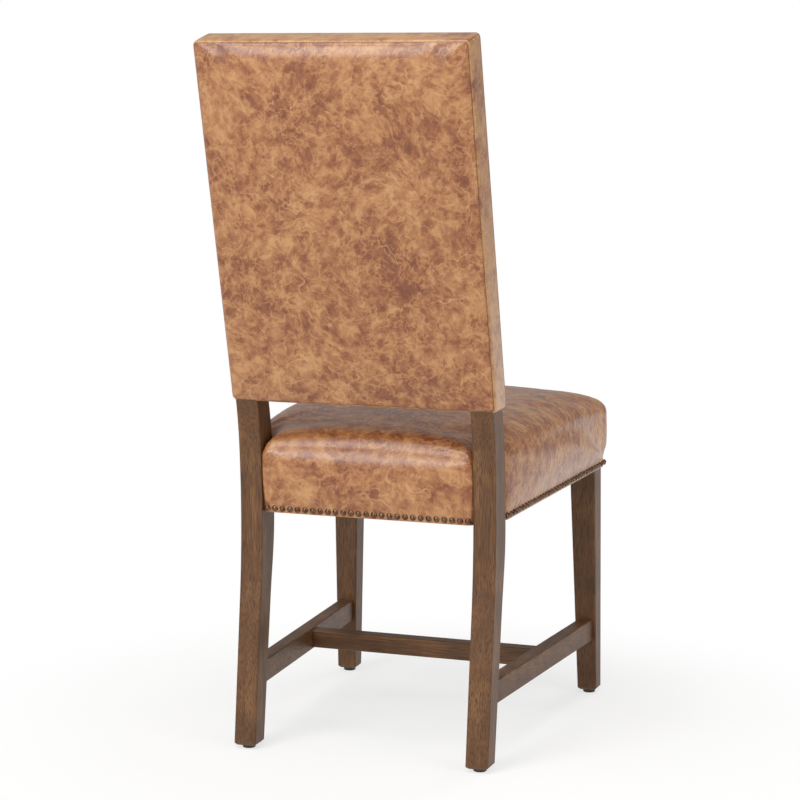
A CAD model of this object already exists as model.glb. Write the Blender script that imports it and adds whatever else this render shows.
# %% [markdown]
# A high-backed dining chair, seen from behind: a boxed leather back on two posts, a crowned leather
# seat with a row of dome nails along its lower edge, and a stained hardwood frame with low stretchers.
# The rigid frame arrives as finished solids. This lesson adds the soft leather, the nails, the thread
# and every surface finish, in the frame of those solids. Sizes of pieces and patterns are written in
# millimetres and turned into metres by MM.

# %% Load the solids
import math

import bmesh
import bpy
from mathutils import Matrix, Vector


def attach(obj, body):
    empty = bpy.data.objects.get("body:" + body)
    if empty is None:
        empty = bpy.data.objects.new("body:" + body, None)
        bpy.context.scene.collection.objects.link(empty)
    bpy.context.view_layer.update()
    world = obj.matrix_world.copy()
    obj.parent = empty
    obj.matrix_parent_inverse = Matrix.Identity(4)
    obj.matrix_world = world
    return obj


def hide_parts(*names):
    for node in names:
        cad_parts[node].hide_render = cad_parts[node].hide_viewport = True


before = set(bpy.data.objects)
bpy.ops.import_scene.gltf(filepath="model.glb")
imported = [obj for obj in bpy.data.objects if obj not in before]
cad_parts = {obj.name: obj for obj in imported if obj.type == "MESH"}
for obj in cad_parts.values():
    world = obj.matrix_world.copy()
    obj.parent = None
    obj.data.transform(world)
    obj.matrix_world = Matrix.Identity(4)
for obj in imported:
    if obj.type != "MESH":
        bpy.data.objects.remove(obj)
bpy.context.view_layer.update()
scene = bpy.context.scene
scene.view_settings.view_transform = "Standard"
MM = 0.001

# %% [markdown]
# The camera stands behind the chair and a little to its right side, at about the height of the back's
# top. A long lens far away keeps the legs nearly parallel, as product photographs do. Its place was
# worked out from the feet, the back's corners and the row of nails, so it is written here as plain numbers.

# %% Camera
CAMERA_PLACE = Vector((-1.2748, 3.5092, 1.0462))
CAMERA_TARGET = Vector((0.0307, -0.0583, 0.5123))
CAMERA_LENS = 109.25
SENSOR_WIDTH = 36.0


def put(name, data):
    thing = bpy.data.objects.new(name, data)
    scene.collection.objects.link(thing)
    return thing


def point_from(thing, place, target):
    thing.location = place
    thing.rotation_mode = "QUATERNION"
    thing.rotation_quaternion = (target - place).to_track_quat("-Z", "Y")


camera = put("camera", bpy.data.cameras.new("camera"))
camera.data.lens = CAMERA_LENS
camera.data.sensor_width = SENSOR_WIDTH
point_from(camera, CAMERA_PLACE, CAMERA_TARGET)
scene.camera = camera
print("camera distance:", round((CAMERA_TARGET - CAMERA_PLACE).length, 3))

# %% [markdown]
# Studio light for furniture is broad and soft. One panel stands high on the left of the camera. A low one
# under it and one above the chair make the pale sheen on the rolled leather, and two more open the far
# sides. The one in front would mirror in the seat, so it lights without a reflection. The rest comes
# evenly from all round. A panel's power follows from the brightness wanted at its distance.

# %% Light
# Each row: place, aim, width and height in metres, then the brightness at the aim
PANELS = {
    "key_panel": ((1.3, 2.6, 2.9), (0, 0, 0.5), 1.5, 0.6, 0.19),
    "sheen_panel": ((1.15, 3.2, 1.35), (0, 0.3, 1.0), 1.7, 0.6, 0.34),
    "top_panel": ((0.1, 1.3, 3.1), (0, 0.1, 0.5), 2.0, 1.2, 0.46),
    "fill_panel": ((-2.6, 1.0, 1.4), (0, 0, 0.5), 1.8, 1.8, 0.28),
    "front_panel": ((-0.9, -2.8, 2.6), (0, 0, 0.6), 1.8, 1.2, 0.20),
}
for name, (place, aim, width, height, level) in PANELS.items():
    lamp = bpy.data.lights.new(name, "AREA")
    lamp.shape = "RECTANGLE"
    lamp.size = width
    lamp.size_y = height
    lamp.energy = level * math.pi ** 2 * (Vector(aim) - Vector(place)).length_squared
    panel = put(name, lamp)
    panel.visible_glossy = name != "front_panel"
    point_from(panel, Vector(place), Vector(aim))

# %% [markdown]
# Every finish below is a small graph of nodes, and a few helpers keep the graphs short. One adds a node,
# sets it up and links it. Others do a sum, stretch a range, look a value up on a colour ramp or add a
# noise of a given size. A colour is written as it is picked on a screen (an sRGB hex value) and turned
# into the linear numbers that a renderer works with.

# %% Helpers for finishes
def linear(hex_colour):
    channels = [int(hex_colour[i:i + 2], 16) / 255 for i in (1, 3, 5)]
    curve = [c / 12.92 if c <= 0.04045 else ((c + 0.055) / 1.055) ** 2.4 for c in channels]
    return (*curve, 1.0)


def add_node(tree, kind, inputs=(), **settings):
    node = tree.nodes.new(kind)
    for key, value in settings.items():
        setattr(node, key, value)
    for key, value in dict(inputs).items():
        if isinstance(value, bpy.types.NodeSocket):
            tree.links.new(value, node.inputs[key])
        else:
            node.inputs[key].default_value = value
    return node


def math_of(tree, operation, *values):
    return add_node(tree, "ShaderNodeMath", dict(enumerate(values)), operation=operation).outputs[0]


def stretch_range(tree, value, low, high, to_low, to_high, kind="LINEAR"):
    ends = {"Value": value, 1: low, 2: high, 3: to_low, 4: to_high}
    return add_node(tree, "ShaderNodeMapRange", ends, interpolation_type=kind).outputs["Result"]


def noise_of(tree, place, size, detail, output="Fac", roughness=0.5):
    values = {"Vector": place, "Scale": 1 / (size * MM), "Detail": detail, "Roughness": roughness}
    return add_node(tree, "ShaderNodeTexNoise", values).outputs[output]


def ramp_of(tree, value, stops):
    node = add_node(tree, "ShaderNodeValToRGB", {"Fac": value})
    elements = node.color_ramp.elements
    while len(elements) < len(stops):
        elements.new(0.5)
    for element, (place, colour) in zip(elements, stops):
        element.position = place
        element.color = linear(colour) if isinstance(colour, str) else (colour, colour, colour, 1.0)
    return node.outputs[0]


def relief_of(tree, height, strength, depth, **settings):
    values = {"Height": height, "Strength": strength, "Distance": depth * MM}
    return add_node(tree, "ShaderNodeBump", values, **settings)


def new_finish(name):
    finish = bpy.data.materials.new(name)
    finish.use_nodes = True
    tree = finish.node_tree
    tree.nodes.clear()
    return finish, tree, add_node(tree, "ShaderNodeTexCoord").outputs["Object"]


def shade(tree, values):
    shader = add_node(tree, "ShaderNodeBsdfPrincipled", values)
    add_node(tree, "ShaderNodeOutputMaterial", {"Surface": shader.outputs[0]})


print("helpers ready")

# %% [markdown]
# The floor is a pale sheet. For the camera most of it is plain white and the rest is lit paper, which
# keeps the soft shadow under the feet. Away from the chair it turns fully white, so the sheet has no
# visible end. The world is white for the camera and through clear materials, and an even grey as light.

# %% Floor and surroundings
# Sizes here are metres, and the white's reach is measured from the middle of the floor
FLOOR_HALF = 6.0
WHITE_FROM = 0.36
WHITE_TO = 0.85
WHITE_LEAST = 0.68
WORLD_LEVEL = 0.40
WORLD_TINT = (1.0, 0.99, 0.98, 1.0)
PURE_WHITE = (1.0, 1.0, 1.0, 1.0)


def new_piece(name, points, edges, faces):
    mesh = bpy.data.meshes.new(name)
    mesh.from_pydata(points, edges, faces)
    return put(name, mesh)


corners = [(x * FLOOR_HALF, y * FLOOR_HALF, 0) for x, y in ((-1, -1), (1, -1), (1, 1), (-1, 1))]
floor = new_piece("floor", corners, [], [(0, 1, 2, 3)])

paper, tree, place = new_finish("White paper sheet, matt")
reach = add_node(tree, "ShaderNodeVectorMath", {0: place}, operation="LENGTH").outputs["Value"]
whiten = stretch_range(tree, reach, WHITE_FROM, WHITE_TO, WHITE_LEAST, 1.0, "SMOOTHSTEP")
rays = add_node(tree, "ShaderNodeLightPath").outputs
seen = math_of(tree, "MAXIMUM", rays["Is Camera Ray"], rays["Is Glossy Ray"])
seen = math_of(tree, "MAXIMUM", seen, rays["Is Transmission Ray"])
share = math_of(tree, "MULTIPLY", seen, whiten)
lit = add_node(tree, "ShaderNodeBsdfDiffuse", {"Color": linear("#F4F3F1")})
white = add_node(tree, "ShaderNodeEmission", {"Color": PURE_WHITE, "Strength": 1.0})
mixed = add_node(tree, "ShaderNodeMixShader", {0: share, 1: lit.outputs[0], 2: white.outputs[0]})
add_node(tree, "ShaderNodeOutputMaterial", {"Surface": mixed.outputs[0]})
floor.data.materials.append(paper)

world = bpy.data.worlds.new("even_light")
scene.world = world
world.use_nodes = True
tree = world.node_tree
tree.nodes.clear()
rays = add_node(tree, "ShaderNodeLightPath").outputs
seen = math_of(tree, "MAXIMUM", rays["Is Camera Ray"], rays["Is Transmission Ray"])
even = add_node(tree, "ShaderNodeBackground", {"Color": WORLD_TINT, "Strength": WORLD_LEVEL})
plain = add_node(tree, "ShaderNodeBackground", {"Color": PURE_WHITE, "Strength": 1.0})
mixed = add_node(tree, "ShaderNodeMixShader", {0: seen, 1: even.outputs[0], 2: plain.outputs[0]})
add_node(tree, "ShaderNodeOutputWorld", {"Surface": mixed.outputs[0]})
print("floor side:", 2 * FLOOR_HALF)

# %% [markdown]
# The visible frame is hardwood, stained mid brown and given a satin coat. Stain sinks into the open pores,
# so short dark dashes run along the grain over broad bands of lighter and darker growth. The pattern is a
# noise that is squeezed across the grain and drawn out along it, so each piece of wood needs to know its
# long axis. Real pores are about 0.2 mm wide, too fine for a picture of a whole chair: they are drawn
# about 1 mm wide.

# %% Stained hardwood
BAND_WIDTH = 14.0
BAND_LENGTH = 260.0
PORE_WIDTH = 0.9
PORE_LENGTH = 42.0
BLOTCH_SIZE = 55.0
PORE_COLOUR = "#422C1B"


def grain_scale(across, along, axis):
    scale = [1 / (across * MM)] * 3
    scale[axis] = 1 / (along * MM)
    return scale


def grain_noise(tree, place, scale, values):
    drawn = add_node(tree, "ShaderNodeMapping", {"Vector": place, "Scale": scale}).outputs[0]
    values = {"Vector": drawn, "Scale": 1.0, **values}
    return add_node(tree, "ShaderNodeTexNoise", values).outputs["Fac"]


def stained_hardwood(name, axis):
    finish, tree, place = new_finish(name)
    bands = grain_noise(tree, place, grain_scale(BAND_WIDTH, BAND_LENGTH, axis),
                        {"Detail": 4.0, "Roughness": 0.55, "Distortion": 0.6})
    pores = grain_noise(tree, place, grain_scale(PORE_WIDTH, PORE_LENGTH, axis),
                        {"Detail": 3.0, "Roughness": 0.6})
    tone = math_of(tree, "ADD", bands, noise_of(tree, place, BLOTCH_SIZE, 2.0))
    tone = math_of(tree, "MULTIPLY", tone, 0.5)
    body = ramp_of(tree, tone, [(0.34, "#54381F"), (0.50, "#694628"), (0.66, "#805935")])
    dash = ramp_of(tree, pores, [(0.36, 0.0), (0.56, 1.0)])
    stain = add_node(tree, "ShaderNodeMix", {"Factor": dash, 6: linear(PORE_COLOUR), 7: body},
                     data_type="RGBA").outputs[2]
    shade(tree, {
        "Base Color": stain,
        "Roughness": stretch_range(tree, pores, 0.0, 1.0, 0.52, 0.36),
        "Specular IOR Level": 0.35,
        "Normal": relief_of(tree, pores, 0.12, 0.6).outputs[0],
    })
    return finish


# Dark pore dashes on warm brown, with a satin gloss that the pores break up
wood_upright = stained_hardwood("Stained hardwood, satin, grain upright", 2)
wood_lengthwise = stained_hardwood("Stained hardwood, satin, grain front to back", 1)
wood_crosswise = stained_hardwood("Stained hardwood, satin, grain side to side", 0)
print("woods:", wood_upright.name, wood_lengthwise.name, wood_crosswise.name)

# %% [markdown]
# Under the leather and below the seat are plain pieces: unfinished frame wood, jute webbing, black dust
# cloth, zinc-plated screws and moulded glides. Each still gets a finish of its own, because a chair is
# turned over and taken apart in pictures too. The rear rail is stained, because its ends show beside
# the posts.

# %% Hidden wood and webbing
def plain_finish(name, pale, dark, grain, roughness, depth, metallic=0.0):
    finish, tree, place = new_finish(name)
    noise = grain_noise(tree, place, grain_scale(*grain, 0), {"Detail": 4.0})
    shade(tree, {
        "Base Color": ramp_of(tree, noise, [(0.35, dark), (0.65, pale)]),
        "Roughness": roughness,
        "Metallic": metallic,
        "Normal": relief_of(tree, noise, 0.3, depth).outputs[0],
    })
    return finish


# Pale sawn wood with long soft streaks
frame_wood = plain_finish("Sawn poplar, unfinished", "#CDB48C", "#B3946A", (3, 60), 0.7, 0.3)
# Rough brown jute
jute = plain_finish("Jute webbing, woven", "#A08A66", "#786343", (2, 2), 0.9, 0.8)
# Flat black felted cloth
dust_cloth = plain_finish("Black felted cloth, non-woven", "#242322", "#171615", (1.5, 1.5), 0.95, 0.3)
# Grey metal with a faint mottle
screw_steel = plain_finish("Zinc-plated steel, tumbled", "#B4B6B8", "#94979A", (2, 2), 0.35, 0.1, 1.0)
# Near-black plastic with a faint moulded grain
glide_plastic = plain_finish("Polyethylene, moulded, near black", "#3E3430", "#2C2522", (0.9, 0.9),
                             0.55, 0.2)
print("hidden finishes ready")

# %% Dress the solids that stay
STAYING = {
    wood_upright: ["rear_leg_left", "rear_leg_right", "front_leg_left", "front_leg_right"],
    wood_lengthwise: ["side_stretcher_left", "side_stretcher_right"],
    wood_crosswise: ["cross_stretcher", "rear_rail"],
    frame_wood: ["side_rail_left", "side_rail_right", "front_rail", "corner_block_rear_left",
                 "corner_block_rear_right", "corner_block_front_left", "corner_block_front_right",
                 "back_lower_rail", "back_top_rail"],
    jute: ["back_webbing", "seat_webbing"],
    dust_cloth: ["dust_cover"],
    screw_steel: ["corner_block_screws", "glide_nails"],
    glide_plastic: ["glides"],
}
for finish, names in STAYING.items():
    for name in names:
        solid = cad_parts[name]
        if not solid.material_slots:
            solid.data.materials.append(finish)
        for material_slot in solid.material_slots:
            material_slot.material = finish
print("dressed solids:", sum(len(names) for names in STAYING.values()))

# %% [markdown]
# The hide is a pull-up leather: tan, waxed and tumbled. Where it is rubbed and pulled it turns paler, so a
# broken net of light creases runs through red-brown clouds. The marks sit in a bent space: a slow swirl
# draws them out in turning directions, and a quick sway frays the edges of the clouds and short creases.
# Noises make the clouds. The creases are the lines where another noise crosses its middle value, which
# wander and fork as creases do.
# Real grain is a pebble of about 0.7 mm. It is drawn at 1.6 mm so that it shows at this distance.

# %% Leather
# Size of the noise, how far it moves a mark, and its detail
SWIRL = (130.0, 55.0, 1.0)
SWAY = (18.0, 15.0, 3.0)
CLOUD_SIZE = 22.0
SPECK_SIZE = 8.0
SPECK_SHARE = 0.45
DRIFT_SIZE = 110.0
DRIFT_SHARE = 0.55
DARK_FROM = 0.74
DARK_TO = 1.20
# Size of the noise, its detail, the width of the line in noise values, and the values on and off the line
WIDE_CREASES = (34.0, 3.0, 0.040, 0.45, 1.0)
FINE_CREASES = (15.0, 2.0, 0.060, 0.70, 1.0)
LONG_CREASES = (85.0, 3.0, 0.013, 0.55, 0.0)
WEAR_SIZE = 60.0
PULLED_COLOUR = "#C69A68"
PEBBLE_SIZE = 1.6
HIDE_ROUGHNESS = 0.6
MID_NOISE = 0.5


def bend_space(tree, place, size, amount, detail):
    shift = noise_of(tree, place, size, detail, "Color", HIDE_ROUGHNESS)
    shift = add_node(tree, "ShaderNodeVectorMath", {0: shift, 1: [MID_NOISE] * 3}, operation="SUBTRACT")
    shift = add_node(tree, "ShaderNodeVectorMath", {0: shift.outputs[0], "Scale": amount * MM},
                     operation="SCALE")
    moved = add_node(tree, "ShaderNodeVectorMath", {0: place, 1: shift.outputs[0]}, operation="ADD")
    return moved.outputs[0]


def crease_lines(tree, place, size, detail, width, on_line, off_line):
    wave = noise_of(tree, place, size, detail, "Fac", HIDE_ROUGHNESS)
    away = math_of(tree, "SUBTRACT", wave, MID_NOISE)
    away = math_of(tree, "ABSOLUTE", away)
    return stretch_range(tree, away, 0.0, width, on_line, off_line, "SMOOTHSTEP")


def pull_up_leather(name, stretch, seed, paler):
    finish, tree, place = new_finish(name)
    hide = add_node(tree, "ShaderNodeMapping", {
        "Vector": place, "Scale": stretch, "Location": (seed, seed, seed)}).outputs[0]
    drawn = bend_space(tree, hide, *SWIRL)
    bent = bend_space(tree, drawn, *SWAY)

    clouds = noise_of(tree, bent, CLOUD_SIZE, 6.0, "Fac", 0.62)
    specks = noise_of(tree, bent, SPECK_SIZE, 4.0, "Fac", HIDE_ROUGHNESS)
    drift = noise_of(tree, hide, DRIFT_SIZE, 2.0, "Fac", HIDE_ROUGHNESS)
    cloud = math_of(tree, "MULTIPLY_ADD", drift, DRIFT_SHARE, clouds)
    cloud = math_of(tree, "MULTIPLY_ADD", specks, SPECK_SHARE, cloud)
    dark = stretch_range(tree, cloud, DARK_FROM + paler, DARK_TO + paler, 0.0, 1.0)
    for creases in (WIDE_CREASES, FINE_CREASES):
        dark = math_of(tree, "MULTIPLY", dark, crease_lines(tree, bent, *creases))
    dye = ramp_of(tree, dark, [(0.0, "#BA8B5A"), (0.35, "#A36E43"), (0.65, "#8A532F"), (1.0, "#703A1E")])

    worn = noise_of(tree, hide, WEAR_SIZE, 3.0, "Fac", HIDE_ROUGHNESS)
    worn = stretch_range(tree, worn, 0.42, 0.62, 0.0, 1.0, "SMOOTHSTEP")
    pull = math_of(tree, "MULTIPLY", crease_lines(tree, drawn, *LONG_CREASES), worn)
    tan = add_node(tree, "ShaderNodeMix", {"Factor": pull, 6: dye, 7: linear(PULLED_COLOUR)},
                   data_type="RGBA").outputs[2]

    pebble = {"Vector": place, "Scale": 1 / (PEBBLE_SIZE * MM)}
    pebble = add_node(tree, "ShaderNodeTexVoronoi", pebble).outputs["Distance"]
    grain = relief_of(tree, pebble, 0.10, 0.4, invert=True)
    folds = relief_of(tree, pull, 0.22, 0.8)
    tree.links.new(grain.outputs[0], folds.inputs["Normal"])
    shade(tree, {
        "Base Color": tan,
        "Roughness": stretch_range(tree, clouds, 0.3, 0.7, 0.42, 0.33),
        "Specular IOR Level": 0.3,
        "Coat Weight": 0.65,
        "Coat Roughness": 0.26,
        "Normal": folds.outputs[0],
    })
    return finish


# Clouded tan with pale crease lines and a waxy sheen on the rolled edges
back_leather = pull_up_leather("Pull-up leather, waxed and tumbled", (1.0, 1.0, 1.0), 0.0, 0.0)
seat_leather = pull_up_leather("Pull-up leather, stretched over the seat", (0.75, 1.0, 0.7), 3.0, 0.0)
# The same hide from a paler, plainer part, for the strips of the boxing
strip_leather = pull_up_leather("Pull-up leather, paler cut for strips", (1.0, 1.0, 1.0), 7.0, 0.12)
print("leathers:", back_leather.name, "|", seat_leather.name, "|", strip_leather.name)

# %% [markdown]
# The seat is a slab of foam under a hide that is pulled down all round and nailed to the frame. It could
# be a box with rounded edges, but pulled leather swells between the nails and the shoulder. So the cover
# starts as rings: up the sides along the outline, then inwards over the crown. The outline has a notch
# for each post. The seat has a frame of its own, which leans back with it.

# %% Seat outline
SEAT_TILT = math.radians(2.0)
SEAT_ORIGIN = Vector((0, 125.67, 366.5))
SEAT_BACKWARD = Vector((0, math.cos(SEAT_TILT), -math.sin(SEAT_TILT)))
SEAT_UP = Vector((0, math.sin(SEAT_TILT), math.cos(SEAT_TILT)))
OUTLINE_SPACING = 5.0
REAR_EDGE = 46.5
FRONT_EDGE = -445.5
BETWEEN_POSTS = 168.0
SHOULDER = (203.6, -1.2)
FRONT_CORNER = (235.0, FRONT_EDGE)
# Each corner of the left half: place across, place along and rounding
SEAT_CORNERS = [(BETWEEN_POSTS, REAR_EDGE, 5.0), (BETWEEN_POSTS, SHOULDER[1], 1.5), (*SHOULDER, 10.0),
                (*FRONT_CORNER, 12.5)]


def seat_to_world(x, y, height):
    return (Vector((x, 0, 0)) + SEAT_ORIGIN + SEAT_BACKWARD * y + SEAT_UP * height) * MM


def rounded_outline(corners, spacing):
    points = []
    count = len(corners)
    for i, (x, y, radius) in enumerate(corners):
        here = Vector((x, y))
        to_last = (Vector(corners[i - 1][:2]) - here).normalized()
        to_next = (Vector(corners[(i + 1) % count][:2]) - here).normalized()
        half_angle = to_last.angle(to_next) / 2
        reach = radius / math.tan(half_angle)
        centre = here + (to_last + to_next).normalized() * (radius / math.sin(half_angle))
        start, end = here + to_last * reach, here + to_next * reach
        turn = (start - centre).angle_signed(end - centre)
        steps = max(3, round(abs(turn) * radius / spacing))
        for k in range(steps + 1):
            a = -turn * k / steps
            arm = start - centre
            points.append(centre + Vector((arm.x * math.cos(a) - arm.y * math.sin(a),
                                           arm.x * math.sin(a) + arm.y * math.cos(a))))
    outline = []
    for i, point in enumerate(points):
        following = points[(i + 1) % len(points)]
        steps = max(1, round((following - point).length / spacing))
        outline += [point.lerp(following, k / steps) for k in range(steps)]
    return outline


mirrored = [(-x, y, radius) for x, y, radius in reversed(SEAT_CORNERS)]
seat_outline = rounded_outline(SEAT_CORNERS + mirrored, OUTLINE_SPACING)
turning = sum(a.x * b.y - a.y * b.x for a, b in zip(seat_outline, seat_outline[1:] + seat_outline[:1]))
if turning < 0:
    seat_outline.reverse()
print("seat outline points:", len(seat_outline))

# %% [markdown]
# The hide bellies out between the nails and the top, little at the rear and more towards the front. The
# side profile gives the share of that belly at each height. A roll says how wide and how deep the top
# edge turns over: broad at the rear, tighter at the sides. Distance to the outline drives the roll.

# %% Seat rings
SEAT_TOP = 141.0
SEAT_CROWN = 2100.0
SEAT_MIDDLE = Vector((0, -199.5))
SIDE_PROFILE = [(-10, 0.0), (0, 0.0), (13, 0.0), (24, 0.42), (36, 0.78), (46, 0.92), (60, 1.0), (74, 1.0)]
INWARD_STEPS = [0.0, 0.004, 0.012, 0.024, 0.04, 0.06, 0.085, 0.115, 0.15, 0.2, 0.3, 0.42, 0.55, 0.7,
                0.85, 0.95]
BELLY_ENDS = 0.06
REAR_BELLY = 2.2
FRONT_BELLY = 10.0
REAR_ROLL = (36.0, 36.0)
SIDE_ROLL = (22.0, 20.0)
# Where, in front of the posts, the belly and the roll start to change, and over what length
BELLY_FROM = 10.0
BELLY_GROWTH = 110.0
ROLL_FROM = 40.0
ROLL_GROWTH = 60.0
TINY = 1e-9


def clamped(value):
    return min(1.0, max(0.0, value))


def fall(gap, width):
    short = clamped(1.0 - gap / width)
    return 1.0 - math.sqrt(max(0.0, 1.0 - short * short))


def outward(i):
    along = seat_outline[(i + 1) % len(seat_outline)] - seat_outline[i - 1]
    return Vector((along.y, -along.x)).normalized()


def belly_at(point):
    front_share = clamped((-point.y - BELLY_FROM) / BELLY_GROWTH)
    return REAR_BELLY + (FRONT_BELLY - REAR_BELLY) * front_share


def outline_gap(point):
    best = math.inf
    for i, a in enumerate(seat_outline):
        span = seat_outline[(i + 1) % len(seat_outline)] - a
        t = clamped((point - a).dot(span) / max(span.length_squared, TINY))
        best = min(best, (point - a - span * t).length)
    return best


def seat_height(point):
    away = point.x * point.x + (point.y - SEAT_MIDDLE.y) ** 2
    crown = SEAT_TOP - SEAT_CROWN + math.sqrt(SEAT_CROWN ** 2 - away)
    rear_share = clamped((point.y + ROLL_FROM) / ROLL_GROWTH)
    width, drop = [side + (rear - side) * rear_share for side, rear in zip(SIDE_ROLL, REAR_ROLL)]
    return crown - drop * fall(outline_gap(point), width)


rings = []
for height, share in SIDE_PROFILE:
    rings.append([(*(p + outward(i) * belly_at(p) * share), height) for i, p in enumerate(seat_outline)])
for step in INWARD_STEPS:
    ring = []
    for i, p in enumerate(seat_outline):
        q = p.lerp(SEAT_MIDDLE, step)
        swell = outward(i) * (belly_at(p) * max(0.0, 1.0 - step / BELLY_ENDS))
        ring.append((q.x + swell.x, q.y + swell.y, seat_height(q)))
    rings.append(ring)
print("seat rings:", len(rings), "of", len(seat_outline))

# %% [markdown]
# Rings make a good shape and a poor cloth, because their faces are long and thin. A voxel remesh turns
# them into even squares of 6 mm, which stretch alike in all directions.

# %% Seat cloth
SEAT_VOXEL = 6.0


def bake_modifiers(piece):
    graph = bpy.context.evaluated_depsgraph_get()
    baked = bpy.data.meshes.new_from_object(piece.evaluated_get(graph))
    piece.modifiers.clear()
    piece.data = baked


def close_rings(name, rings, to_world):
    count = len(rings[0])
    points = [to_world(*p) for ring in rings for p in ring]
    faces = [tuple(range(count - 1, -1, -1)), tuple(range(len(points) - count, len(points)))]
    for level in range(len(rings) - 1):
        a, b = level * count, (level + 1) * count
        faces += [(a + i, a + (i + 1) % count, b + (i + 1) % count, b + i) for i in range(count)]
    return new_piece(name, points, [], faces)


seat = close_rings("seat_cushion", rings, seat_to_world)
even = seat.modifiers.new("even", "REMESH")
even.mode = "VOXEL"
even.voxel_size = SEAT_VOXEL * MM
bake_modifiers(seat)
print("seat cloth points:", len(seat.data.vertices))

# %% [markdown]
# Now the foam pushes. Blender's cloth is blown up from inside while the nailed band and the notches round
# the posts are held. A soft limit on each point's travel keeps the cushion near the shape it starts from.

# %% Blow up the seat
CLOTH_STEPS = 20
SEAT_PRESSURE = 4.0
SEAT_TRAVEL = 6.0
HELD_BAND = 15.0
HELD_NOTCH = (158.0, -10.0)


def blow_up(piece, held, pressure, travel):
    group = piece.vertex_groups.new(name="held")
    group.add(held, 1.0, "ADD")
    cloth = piece.modifiers.new("stuffing", "CLOTH")
    cloth.settings.quality = 5
    cloth.settings.use_pressure = True
    cloth.settings.uniform_pressure_force = pressure
    cloth.settings.vertex_group_mass = "held"
    cloth.settings.effector_weights.gravity = 0.0
    cloth.collision_settings.use_collision = False
    starts = [v.co.copy() for v in piece.data.vertices]
    for step in range(1, CLOTH_STEPS + 1):
        scene.frame_set(step)
    bake_modifiers(piece)
    for vertex, start in zip(piece.data.vertices, starts):
        move = vertex.co - start
        if move.length > TINY:
            allowed = travel * MM * (1.0 - math.exp(-move.length / (travel * MM)))
            vertex.co = start + move * (allowed / move.length)
    scene.frame_set(1)
    piece.vertex_groups.clear()


def seat_local(point):
    away = point / MM - SEAT_ORIGIN
    return away.x, away.dot(SEAT_BACKWARD), away.dot(SEAT_UP)


held = []
for vertex in seat.data.vertices:
    x, y, height = seat_local(vertex.co)
    if height < HELD_BAND or (abs(x) > HELD_NOTCH[0] and y > HELD_NOTCH[1]):
        held.append(vertex.index)
blow_up(seat, held, SEAT_PRESSURE, SEAT_TRAVEL)
print("held points:", len(held), "of", len(seat.data.vertices))

# %% [markdown]
# The remesh rounds the lower edge, but a hide that is nailed along a rail ends in a clean cut. The cushion
# was made 10 mm too deep for this: after one subdivision a flat cut takes the extra away, and the edge
# turns in as thick leather does. Points that moved into the posts' notches go back to the notch walls.

# %% Cut the seat's lower edge
NOTCH_X = 168.3
NOTCH_Y = -1.1
HEM_DEPTH = 2.0
HEM_RISE = 4.0


def subdivide(piece):
    smooth = piece.modifiers.new("smooth", "SUBSURF")
    smooth.levels = 1
    smooth.render_levels = 1
    bake_modifiers(piece)


subdivide(seat)
for vertex in seat.data.vertices:
    x, y, height = seat_local(vertex.co)
    over_x, over_y = abs(x) - NOTCH_X, y - NOTCH_Y
    if over_x > 0 and over_y > 0:
        if over_x < over_y:
            x = math.copysign(NOTCH_X, x)
        else:
            y = NOTCH_Y
        vertex.co = seat_to_world(x, y, height)

shape = bmesh.new()
shape.from_mesh(seat.data)
bmesh.ops.bisect_plane(shape, geom=shape.verts[:] + shape.edges[:] + shape.faces[:],
                       plane_co=seat_to_world(0, 0, 0), plane_no=SEAT_UP, clear_inner=True)
for face in shape.faces:
    face.smooth = True
rim = [e for e in shape.edges if e.is_boundary]
for move in ("in", "up"):
    for edge in rim:
        edge.smooth = False
    shape.normal_update()
    inward = {}
    for edge in rim:
        for vertex in edge.verts:
            flat = vertex.normal - SEAT_UP * vertex.normal.dot(SEAT_UP)
            inward[vertex] = -flat.normalized()
    grown = bmesh.ops.extrude_edge_only(shape, edges=rim)["geom"]
    for vertex in [g for g in grown if isinstance(g, bmesh.types.BMVert)]:
        old = next(e.other_vert(vertex) for e in vertex.link_edges if e.other_vert(vertex) in inward)
        shift = inward[old] * HEM_DEPTH if move == "in" else SEAT_UP * HEM_RISE
        vertex.co = old.co + shift * MM
    rim = [g for g in grown if isinstance(g, bmesh.types.BMEdge) and g.is_boundary]
bmesh.ops.edgeloop_fill(shape, edges=rim)
bmesh.ops.recalc_face_normals(shape, faces=shape.faces[:])
shape.to_mesh(seat.data)
shape.free()
seat.data.materials.clear()
seat.data.materials.append(seat_leather)
print("seat faces:", len(seat.data.polygons))

# %% [markdown]
# The back is a boxed cushion: a panel behind, a panel in front and four strips between them, sewn edge to
# edge. It has a frame of its own too: across, up along the lean, and deep from the rear to the front.
# Towards the bottom, deeper points drop a little, so that the underside is level.

# %% Back frame of reference
BACK_LEAN = math.radians(13.57)
BACK_ORIGIN = Vector((0, 195.27, 537.3))
BACK_RISE = Vector((0, math.sin(BACK_LEAN), math.cos(BACK_LEAN)))
BACK_FORWARD = Vector((0, -math.cos(BACK_LEAN), math.sin(BACK_LEAN)))
BACK_HALF = 208.3
BACK_LENGTH = 548.0
BACK_DEPTH = 66.0
BACK_CORNER = 7.0
SEAM_REAR = 3.0
SEAM_INSET = 2.0
SEAM_FRONT = 54.0


def back_to_world(across, up, deep):
    level = -math.tan(BACK_LEAN) * deep * (1.0 - up / BACK_LENGTH)
    flat = Vector((across, 0, 0)) + BACK_ORIGIN + BACK_RISE * (up + level) + BACK_FORWARD * deep
    return flat * MM


print("back top:", [round(v, 4) for v in back_to_world(0, BACK_LENGTH, 0)])

# %% [markdown]
# Each panel is a fine grid. Its corners are bent to quarter circles, and its border rolls down to the
# seam, with a broad roll at the top of the rear panel, where the hide is drawn over the padding. Past the
# seam the border tucks in behind the strips. Then both panels are blown up as the seat was.

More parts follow.
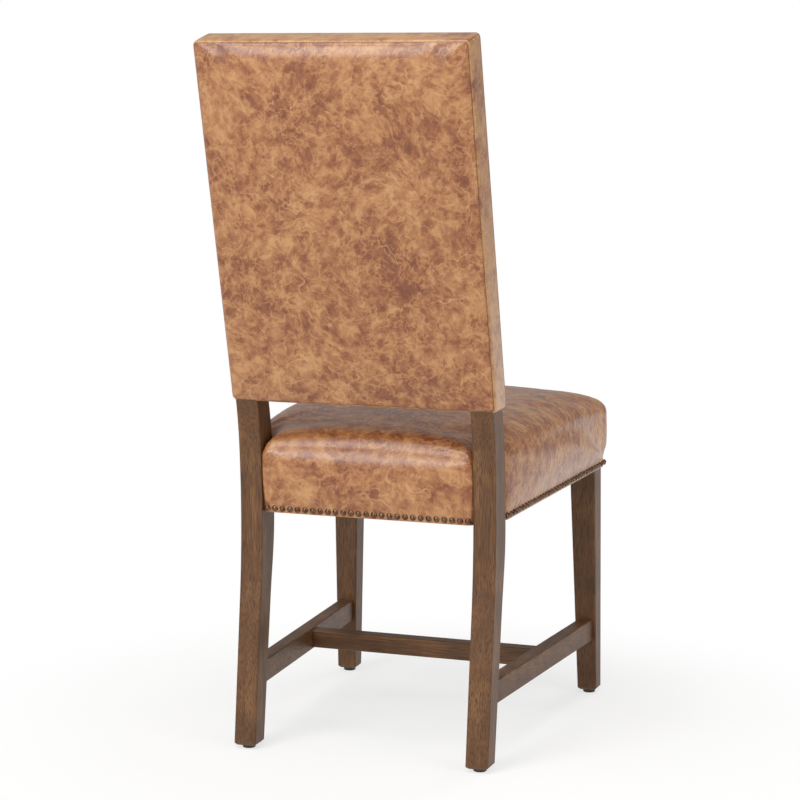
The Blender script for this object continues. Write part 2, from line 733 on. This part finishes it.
# %% Helpers for panels
PANEL_SPACING = 7.0
EDGE_LINES = [0.0, 0.8, 1.8, 3.2, 5.0, 7.0, 9.5, 12.5, 16.0, 20.0]
# The power that blends the falls of neighbouring borders
ROLL_BLEND = 4


def spaced_lines(low, high):
    inner = high - low - 2 * EDGE_LINES[-1]
    steps = max(1, round(inner / PANEL_SPACING))
    middle = [low + EDGE_LINES[-1] + inner * k / steps for k in range(1, steps)]
    return [low + e for e in EDGE_LINES] + middle + [high - e for e in reversed(EDGE_LINES)]


def slope(gap, width):
    return clamped(1.0 - gap / width) ** 2


def bend_corner(across, up, half, reach, corner):
    along = up - BACK_LENGTH / 2
    side_in, end_in = abs(across) - (half - corner), abs(along) - (reach - corner)
    if side_in <= 0 or end_in <= 0:
        return across, up, min(half - abs(across), reach - abs(along))
    s, t = side_in / corner, end_in / corner
    s, t = s * math.sqrt(1 - t * t / 2), t * math.sqrt(1 - s * s / 2)
    across = math.copysign(half - corner + s * corner, across)
    up = BACK_LENGTH / 2 + math.copysign(reach - corner + t * corner, along)
    return across, up, corner * (1 - math.hypot(s, t))


def border_fall(across, up, gap, rolls, half, reach, corner):
    side, top, bottom, over_top = rolls
    along = up - BACK_LENGTH / 2
    falls = [fall(half - abs(across), side), over_top(reach - along, top), fall(reach + along, bottom),
             fall(gap, min(side, corner))]
    return min(1.0, sum(f ** ROLL_BLEND for f in falls) ** (1 / ROLL_BLEND))


def grid_faces(wide, tall):
    cells = [r * wide + c for r in range(tall - 1) for c in range(wide - 1)]
    return [(k, k + 1, k + wide + 1, k + wide) for k in cells]


def grid_border(wide, tall):
    bottom = list(range(wide))
    right = [r * wide + wide - 1 for r in range(1, tall)]
    top = [(tall - 1) * wide + c for c in range(wide - 2, -1, -1)]
    left = [r * wide for r in range(tall - 2, 0, -1)]
    return bottom + right + top + left


def turn_outward(piece, close):
    shape = bmesh.new()
    shape.from_mesh(piece.data)
    if close:
        bmesh.ops.edgeloop_fill(shape, edges=[e for e in shape.edges if e.is_boundary])
    bmesh.ops.recalc_face_normals(shape, faces=shape.faces[:])
    shape.to_mesh(piece.data)
    shape.free()


print("grid lines:", len(spaced_lines(0, BACK_LENGTH)), "up")

# %% Back panels
# How far past the seam each ring of the tuck lies, and how far it is drawn in
TUCK_RINGS = ((0.6, 0.5), (1.6, 2.0))
# Shares of the half width and half length past which a border point is drawn in
TUCK_SIDES = 0.96
TUCK_ENDS = 0.97
OUTSIDE_CORNER = 5.0
# Rolls: widths at the sides, the top and the bottom, and the curve over the top
OUTSIDE_ROLLS = (5.0, 32.0, 5.0, slope)
OUTSIDE_SWELL = 5.0
OUTSIDE_POWER = 6
OUTSIDE_PRESSURE = 1.5
OUTSIDE_TRAVEL = 2.0
INSIDE_ROLLS = (14.0, 16.0, 14.0, fall)
INSIDE_TOP = BACK_DEPTH - 2.5
INSIDE_CURVE = 16000.0
INSIDE_PRESSURE = 4.0
INSIDE_TRAVEL = 6.0


def make_panel(name, surface, seam, inset, corner, tuck, rolls):
    half, reach = BACK_HALF - inset, BACK_LENGTH / 2 - inset
    columns = spaced_lines(-half, half)
    lines = spaced_lines(inset, BACK_LENGTH - inset)
    points = []
    for up in lines:
        for across in columns:
            a, b, gap = bend_corner(across, up, half, reach, corner)
            level = surface(a, b)
            drop = border_fall(a, b, gap, rolls, half, reach, corner)
            points.append((a, b, level + (seam - level) * drop))
    faces = grid_faces(len(columns), len(lines))
    border = grid_border(len(columns), len(lines))
    held = list(border)
    ring = border
    for step, draw in TUCK_RINGS:
        grown = []
        for k in border:
            a, b, _ = points[k]
            along = b - BACK_LENGTH / 2
            draw_a = math.copysign(draw if abs(a) > TUCK_SIDES * half else 0.0, a)
            draw_b = math.copysign(draw if abs(along) > TUCK_ENDS * reach else 0.0, along)
            grown.append(len(points))
            points.append((a - draw_a, b - draw_b, seam + tuck * step))
        count = len(ring)
        faces += [(ring[i], ring[(i + 1) % count], grown[(i + 1) % count], grown[i]) for i in range(count)]
        held += grown
        ring = grown
    if tuck > 0:
        faces = [tuple(reversed(face)) for face in faces]
    return new_piece(name, [back_to_world(*p) for p in points], [], faces), held


def outside_level(across, up):
    fullness = 1.0 - abs(across / BACK_HALF) ** OUTSIDE_POWER
    low = max(0.0, 1.0 - 2.0 * up / BACK_LENGTH)
    return -OUTSIDE_SWELL * fullness * (1.0 - low ** OUTSIDE_POWER)


def inside_level(across, up):
    return INSIDE_TOP - (across ** 2 + (up - BACK_LENGTH / 2) ** 2) / INSIDE_CURVE


outside_panel, outside_held = make_panel("back_outside_panel", outside_level, SEAM_REAR, SEAM_INSET,
                                         OUTSIDE_CORNER, 1.0, OUTSIDE_ROLLS)
inside_panel, inside_held = make_panel("back_inside_panel", inside_level, SEAM_FRONT, 0.0, BACK_CORNER,
                                       -1.0, INSIDE_ROLLS)
blow_up(outside_panel, outside_held, OUTSIDE_PRESSURE, OUTSIDE_TRAVEL)
blow_up(inside_panel, inside_held, INSIDE_PRESSURE, INSIDE_TRAVEL)
for panel in (outside_panel, inside_panel):
    subdivide(panel)
    turn_outward(panel, True)
    panel.data.materials.append(back_leather)
    panel.data.shade_smooth()
print("panel faces:", len(outside_panel.data.polygons), len(inside_panel.data.polygons))

# %% [markdown]
# Four strips box the cushion: one over the top, one down each side and one underneath. They meet in a seam
# at each corner. A strip's profile starts in the seam at the rear edge, rounds that edge, swells over the
# padding and turns in at the front seam. Its ends turn in too, so that neighbours leave the groove of a
# sewn seam. A second wall behind it gives the strip its thickness and keeps clear of the posts.

# %% Paths of the strips
CORNER_STEPS = 8
HALF_CORNER = 45.0
PATH_SPACING = 8.0
INNER = BACK_HALF - BACK_CORNER
LOW = BACK_CORNER
HIGH = BACK_LENGTH - BACK_CORNER


def corner_arc(across, up, start):
    centre = Vector((math.copysign(INNER, across), up - math.copysign(BACK_CORNER, up - BACK_LENGTH / 2)))
    turns = [math.radians(start + HALF_CORNER * k / CORNER_STEPS) for k in range(CORNER_STEPS + 1)]
    facings = [Vector((math.cos(t), math.sin(t))) for t in turns]
    return [(centre + facing * BACK_CORNER, facing) for facing in facings]


def straight(start, end, facing):
    start, end, facing = Vector(start), Vector(end), Vector(facing)
    steps = round((end - start).length / PATH_SPACING)
    return [(start.lerp(end, k / steps), facing) for k in range(1, steps)]


STRIPS = {
    "back_boxing_top": corner_arc(BACK_HALF, BACK_LENGTH, 45)
    + straight((INNER, BACK_LENGTH), (-INNER, BACK_LENGTH), (0, 1))
    + corner_arc(-BACK_HALF, BACK_LENGTH, 90),
    "back_boxing_right": corner_arc(-BACK_HALF, BACK_LENGTH, 135)
    + straight((-BACK_HALF, HIGH), (-BACK_HALF, LOW), (-1, 0)) + corner_arc(-BACK_HALF, 0, 180),
    "back_boxing_bottom": corner_arc(-BACK_HALF, 0, 225)
    + straight((-INNER, 0), (INNER, 0), (0, -1)) + corner_arc(BACK_HALF, 0, 270),
    "back_boxing_left": corner_arc(BACK_HALF, 0, 315)
    + straight((BACK_HALF, LOW), (BACK_HALF, HIGH), (1, 0)) + corner_arc(BACK_HALF, BACK_LENGTH, 0),
}
print("path points:", {name: len(path) for name, path in STRIPS.items()})

# %% Boxing strips
TURN_IN = 2.2
END_TURN = 1.1
LIP_SHARE = 0.6
SWELL = 1.0
EDGE_DEPTH = 10.0
EDGE_STEPS = 6
FLAT_STEPS = 4
FLAT_SPACING = 7.5
FRONT_TURN = 5.0
FRONT_GAPS = (3.2, 1.9, 0.9, 0.3, 0.0)
FRONT_END = SEAM_FRONT - 0.7
# Outset and depth of the first points, which lie in the seam behind the rear panel
LIP = [(-4.2, 5.4), (-3.5, 4.6), (-2.7, 4.3), (-2.0, 4.5)]
# The wall behind: least thickness, room for the posts, deepest and rearmost place, with small steps
# that keep its points apart
WALL = 1.3
POST_CLEAR = 3.0
WALL_DEEPEST = 6.95
WALL_REAR = 3.4
DEEP_STEP = 0.03
REAR_STEP = 0.02


def strip_profile():
    start, rear = LIP[-1]
    profile = list(LIP)
    for k in range(1, EDGE_STEPS + 1):
        turn = math.radians(90 / EDGE_STEPS * k)
        outset = start + (SWELL - start) * math.sin(turn)
        profile.append((outset, EDGE_DEPTH - (EDGE_DEPTH - rear) * math.cos(turn)))
    profile += [(SWELL, EDGE_DEPTH + FLAT_SPACING * k) for k in range(1, FLAT_STEPS + 1)]
    for gap in FRONT_GAPS:
        profile.append((SWELL - (SWELL + TURN_IN) * fall(gap, FRONT_TURN), FRONT_END - gap))
    return profile


def make_strip(name, path, profile):
    run = [0.0]
    for (p, _), (q, _) in zip(path, path[1:]):
        run.append(run[-1] + (q - p).length)
    outer, inner = [], []
    for (p, facing), far in zip(path, run):
        end_turn = END_TURN * fall(min(far, run[-1] - far), 2 * END_TURN)
        for k, (outset, deep) in enumerate(profile):
            round_edge = clamped((outset + SEAM_INSET) / SEAM_INSET)
            q = p + facing * (outset - end_turn * round_edge)
            outer.append(back_to_world(q.x, q.y, deep + end_turn * (1.0 - round_edge) * LIP_SHARE))
            back = min(-POST_CLEAR, outset - WALL) - end_turn * round_edge
            q = p + facing * max(DEEP_STEP * k - WALL_DEEPEST, back)
            inner.append(back_to_world(q.x, q.y, max(deep, WALL_REAR + REAR_STEP * k)))
    total = len(outer)
    faces = grid_faces(len(profile), len(path))
    faces += [(total + a, total + d, total + c, total + b) for a, b, c, d in faces]
    border = grid_border(len(profile), len(path))
    faces += [(a, b, b + total, a + total) for a, b in zip(border, border[1:] + border[:1])]
    piece = new_piece(name, outer + inner, [], faces)
    turn_outward(piece, False)
    piece.data.materials.append(strip_leather)
    piece.data.shade_smooth()
    return piece


profile = strip_profile()
strips = {name: make_strip(name, path, profile) for name, path in STRIPS.items()}
print("strip faces:", {name: len(piece.data.polygons) for name, piece in strips.items()})

# %% [markdown]
# Dome nails hold the seat's lower edge. They are stamped from steel, plated, then darkened and rubbed,
# which leaves brighter and darker patches. A row is one line with a nail at equal steps, so Geometry Nodes
# make it: the line is cut into points, and each point gets a dome that faces away from the seat.

# %% Antique bronze
PATINA_SIZE = 5.0
bronze, tree, place = new_finish("Antique bronze plating, darkened and rubbed")
# Warm brown metal, darker in blotches where the patina stayed, with small hard highlights
patina = noise_of(tree, place, PATINA_SIZE, 3.0)
shade(tree, {
    "Base Color": ramp_of(tree, patina, [(0.35, "#4E392B"), (0.65, "#816450")]),
    "Metallic": 1.0,
    "Roughness": stretch_range(tree, patina, 0.0, 1.0, 0.27, 0.17),
})
print("finish:", bronze.name)

# %% Nail row tree
# A ball of radius 1 with its lower half pressed flat becomes a dome
PRESSED = (1.0, 1.0, 0.2)


def new_tree(name, inputs):
    tree = bpy.data.node_groups.new(name, "GeometryNodeTree")
    tree.interface.new_socket("Geometry", in_out="INPUT", socket_type="NodeSocketGeometry")
    for label, kind in inputs.items():
        tree.interface.new_socket(label, in_out="INPUT", socket_type="NodeSocket" + kind)
    tree.interface.new_socket("Geometry", in_out="OUTPUT", socket_type="NodeSocketGeometry")
    given = add_node(tree, "NodeGroupInput").outputs
    line = add_node(tree, "GeometryNodeMeshToCurve", {"Mesh": given["Geometry"]}).outputs[0]
    return tree, given, line


def end_tree(tree, points, shape, turn, size, finish):
    copies = add_node(tree, "GeometryNodeInstanceOnPoints", {
        "Points": points, "Instance": shape, "Rotation": turn, "Scale": size}).outputs[0]
    solid = add_node(tree, "GeometryNodeRealizeInstances", {"Geometry": copies}).outputs[0]
    smooth = add_node(tree, "GeometryNodeSetShadeSmooth", {"Geometry": solid}).outputs[0]
    dressed = add_node(tree, "GeometryNodeSetMaterial", {"Geometry": smooth, "Material": finish}).outputs[0]
    add_node(tree, "NodeGroupOutput", {"Geometry": dressed})


nail_tree, given, line = new_tree("Nail row", {
    "Count": "Int", "Head": "Float", "Dome": "Float", "Facing": "Vector", "Finish": "Material"})
spots = add_node(nail_tree, "GeometryNodeResampleCurve", {"Curve": line, "Count": given["Count"]})
ball = add_node(nail_tree, "GeometryNodeMeshUVSphere", {"Segments": 12, "Rings": 7, "Radius": 1.0})
spot = add_node(nail_tree, "GeometryNodeInputPosition").outputs[0]
height = add_node(nail_tree, "ShaderNodeSeparateXYZ", {0: spot}).outputs["Z"]
below = add_node(nail_tree, "FunctionNodeCompare", {0: height, 1: 0.0}, operation="LESS_THAN")
flat = add_node(nail_tree, "ShaderNodeVectorMath", {0: spot, 1: PRESSED}, operation="MULTIPLY")
dome = add_node(nail_tree, "GeometryNodeSetPosition", {
    "Geometry": ball.outputs["Mesh"], "Selection": below.outputs[0], "Position": flat.outputs[0]})
radius = math_of(nail_tree, "MULTIPLY", given["Head"], 0.5)
size = add_node(nail_tree, "ShaderNodeCombineXYZ", {"X": radius, "Y": radius, "Z": given["Dome"]})
turn = add_node(nail_tree, "FunctionNodeAlignRotationToVector", {"Vector": given["Facing"]}, axis="Z")
end_tree(nail_tree, spots.outputs[0], dome.outputs[0], turn.outputs[0], size.outputs[0], given["Finish"])
print("nail tree nodes:", len(nail_tree.nodes))

# %% Nail rows
NAIL_HEAD = 9.6
NAIL_DOME = 3.2
NAIL_LIFT = 6.5
NAIL_MARGIN = 7.0
REAR_NAIL = 160.5
SIDE_ANGLE = math.atan2(FRONT_CORNER[0] - SHOULDER[0], SHOULDER[1] - FRONT_EDGE)
SIDE_ALONG = Vector((math.sin(SIDE_ANGLE), -math.cos(SIDE_ANGLE)))
SIDE_FACING = Vector((math.cos(SIDE_ANGLE), math.sin(SIDE_ANGLE)))
FRONT_NAIL = FRONT_CORNER[0] - NAIL_MARGIN
MIRROR = Vector((-1, 1))
side_start = Vector(SHOULDER) + SIDE_ALONG * NAIL_MARGIN
side_end = Vector(FRONT_CORNER) - SIDE_ALONG * NAIL_MARGIN
# Each row: first nail, last nail, the way the domes face, the number of nails and the solids it stands for
NAIL_ROWS = {
    "nail_row_rear": ((REAR_NAIL, REAR_EDGE), (-REAR_NAIL, REAR_EDGE), (0, 1), 27, "nails_rear"),
    "nail_row_left": (side_start, side_end, SIDE_FACING, 36, "nails_left"),
    "nail_row_right": (side_start * MIRROR, side_end * MIRROR, SIDE_FACING * MIRROR, 36, "nails_right"),
    "nail_row_front": ((FRONT_NAIL, FRONT_EDGE), (-FRONT_NAIL, FRONT_EDGE), (0, -1), 38, "nails_front"),
}


def run_tree(name, tree, points, edges, values):
    piece = new_piece(name, points, edges, [])
    modifier = piece.modifiers.new("tree", "NODES")
    modifier.node_group = tree
    sockets = {s.name: s.identifier for s in tree.interface.items_tree if s.in_out == "INPUT"}
    for label, value in values.items():
        modifier[sockets[label]] = value
    bake_modifiers(piece)
    return piece


nail_rows = {}
for name, (start, end, facing, count, node) in NAIL_ROWS.items():
    ends = [seat_to_world(p[0], p[1], NAIL_LIFT) for p in (start, end)]
    away = Vector((facing[0], 0, 0)) + SEAT_BACKWARD * facing[1]
    row = run_tree(name, nail_tree, ends, [(0, 1)], {
        "Count": count, "Head": NAIL_HEAD * MM, "Dome": NAIL_DOME * MM, "Facing": tuple(away),
        "Finish": bronze})
    nail_rows[row] = node
    print(name, "nails:", count, "faces:", len(row.data.polygons))

# %% [markdown]
# The seams are closed with bonded thread, sunk in the groove. A stitch is a short rounded bead that lies
# along the seam, repeated every 4.2 mm all the way round, so Geometry Nodes lay the beads along the
# seam's path.

# %% Thread
TWIST_SIZE = 2.4
thread, tree, place = new_finish("Bonded polyester thread, twisted")
# Dull brown cord whose twist shows as fine slanting bands
twist = add_node(tree, "ShaderNodeTexWave", {
    "Vector": place, "Scale": 1 / (TWIST_SIZE * MM), "Distortion": 1.5}, bands_direction="DIAGONAL")
tint = ramp_of(tree, twist.outputs["Fac"], [(0.2, "#4A2D1A"), (0.8, "#633E26")])
shade(tree, {"Base Color": tint, "Roughness": 0.6})
print("finish:", thread.name)

# %% Stitch tree
stitch_tree, given, line = new_tree("Stitched seam", {
    "Pitch": "Float", "Length": "Float", "Thickness": "Float", "Finish": "Material"})
spots = add_node(stitch_tree, "GeometryNodeResampleCurve", {"Curve": line, "Length": given["Pitch"]},
                 mode="LENGTH").outputs[0]
along = add_node(stitch_tree, "GeometryNodeInputTangent").outputs[0]
turn = add_node(stitch_tree, "FunctionNodeAlignRotationToVector", {"Vector": along}, axis="X")
bead = add_node(stitch_tree, "GeometryNodeMeshUVSphere", {"Segments": 6, "Rings": 5, "Radius": 0.5})
size = add_node(stitch_tree, "ShaderNodeCombineXYZ", {
    "X": given["Length"], "Y": given["Thickness"], "Z": given["Thickness"]})
end_tree(stitch_tree, spots, bead.outputs["Mesh"], turn.outputs[0], size.outputs[0], given["Finish"])
print("stitch tree nodes:", len(stitch_tree.nodes))

# %% Stitched seams
STITCH_PITCH = 4.2
STITCH_LENGTH = 3.6
STITCH_THICKNESS = 1.2
# Each seam: how deep it lies from the rear, and how far it is sunk under the strips' path
SEAMS = {
    "seam_stitches_rear": (SEAM_REAR + 0.5, 2.1),
    "seam_stitches_front": (SEAM_FRONT - 0.25, 1.2),
}
seams = []
for name, (deep, sunk) in SEAMS.items():
    path = [p - facing * sunk for strip in STRIPS.values() for p, facing in strip[:-1]]
    points = [back_to_world(p.x, p.y, deep) for p in path]
    edges = [(i, (i + 1) % len(points)) for i in range(len(points))]
    seams.append(run_tree(name, stitch_tree, points, edges, {
        "Pitch": STITCH_PITCH * MM, "Length": STITCH_LENGTH * MM, "Thickness": STITCH_THICKNESS * MM,
        "Finish": thread}))
    print(name, "faces:", len(seams[-1].data.polygons))

# %% [markdown]
# Last, every new piece is tied to the chair's one body, says which solids it stands for and which finish
# of the part's record it carries. The cushions are also declared as padding, with how tightly they are
# filled.

# %% Tie the pieces to the chair
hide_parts("seat_cover", "seat_padding")
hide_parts("outside_back", "back_wadding")
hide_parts("inside_back", "back_foam")
for name, strip in strips.items():
    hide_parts(name.replace("back_", ""))
for row, node in nail_rows.items():
    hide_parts(node)
for piece in [seat, outside_panel, inside_panel, *strips.values(), *nail_rows, *seams]:
    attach(piece, "root")
